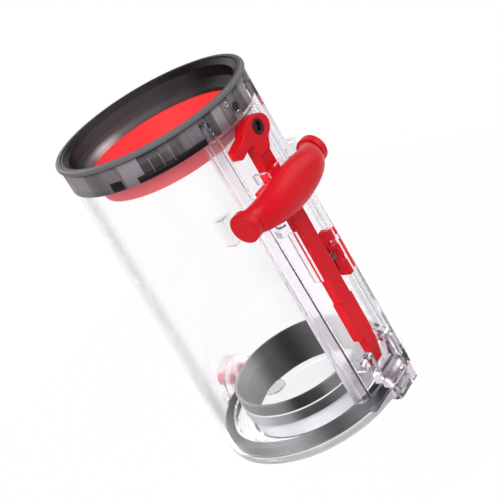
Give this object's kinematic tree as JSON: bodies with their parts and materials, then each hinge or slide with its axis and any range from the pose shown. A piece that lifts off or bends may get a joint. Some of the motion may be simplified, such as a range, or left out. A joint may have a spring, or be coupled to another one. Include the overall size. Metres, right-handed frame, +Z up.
{
  "type": "cyclone dust bin",
  "caption": "Clear tapered dust bin with a dark funnel collar, a red emptying lever and push rod on a front rail, and a hinged base flap with a seal and cup ring.",
  "frame": {"origin": "centre of the flap's flat underside, on the bin's axis", "axes": "+Z up the bin's axis towards the collar; the runner rail faces -Y and the flap's hinge is at +Y"},
  "size_m": [0.1234, 0.1496, 0.2096],
  "materials": {
    "clear": "polished clear",
    "smoke": "dark smoke gloss",
    "seal_rubber": "satin",
    "red_soft": "matte",
    "red": "gloss",
    "grey": "satin",
    "pale": "matte",
    "dark_steel": "black oxide",
    "pin_steel": "ground",
    "spring_steel": "drawn wire"
  },
  "bodies": {
    "bin": {"bin_shell": "clear", "funnel_ring": "smoke", "rim_seal": "seal_rubber", "wiper_sleeve": "red_soft", "collar_screws": "dark_steel", "rod_guide": "clear", "return_spring": "spring_steel", "catch_pins": "pin_steel", "catch_spring": "spring_steel", "button_spring": "spring_steel", "hinge_pin": "pin_steel", "flap_spring": "spring_steel", "hinge_plugs": "red"},
    "actuator": {"push_rod": "red", "head_pin": "dark_steel", "bin_lever": "red", "lever_screws": "dark_steel"},
    "catch": {"latch_catch": "clear"},
    "button": {"release_button": "red"},
    "flap": {"base_flap": "clear", "flap_seal": "seal_rubber", "ring_cup": "grey", "ring_band": "grey", "ring_gasket": "pale"}
  },
  "joints": [
    {"name": "actuator_slide", "type": "slide", "parent": "bin", "child": "actuator", "axis": [0, 0, -1], "range_m": [0, 0.008], "stiffness_N_per_m": 300, "springref_m": -0.01, "deforming": ["return_spring"]},
    {"name": "catch_pivot", "type": "hinge", "parent": "bin", "child": "catch", "pos_m": [0.003, -0.0605, 0.0326], "axis": [-1, 0, 0], "range_deg": [0, 7], "deforming": ["catch_spring"]},
    {"name": "flap_hinge", "type": "hinge", "parent": "bin", "child": "flap", "pos_m": [0, 0.066, 0.006], "axis": [1, 0, 0], "range_deg": [0, 95], "deforming": ["flap_spring"]},
    {"name": "button_press", "type": "slide", "parent": "bin", "child": "button", "axis": [-1, 0, 0], "range_m": [0, 0.002], "stiffness_N_per_m": 500, "springref_m": -0.002, "deforming": ["button_spring"]}
  ],
  "couplings": [
    {"joint": "catch_pivot", "follows": "actuator_slide", "rad_per_m": 14.6}
  ]
}
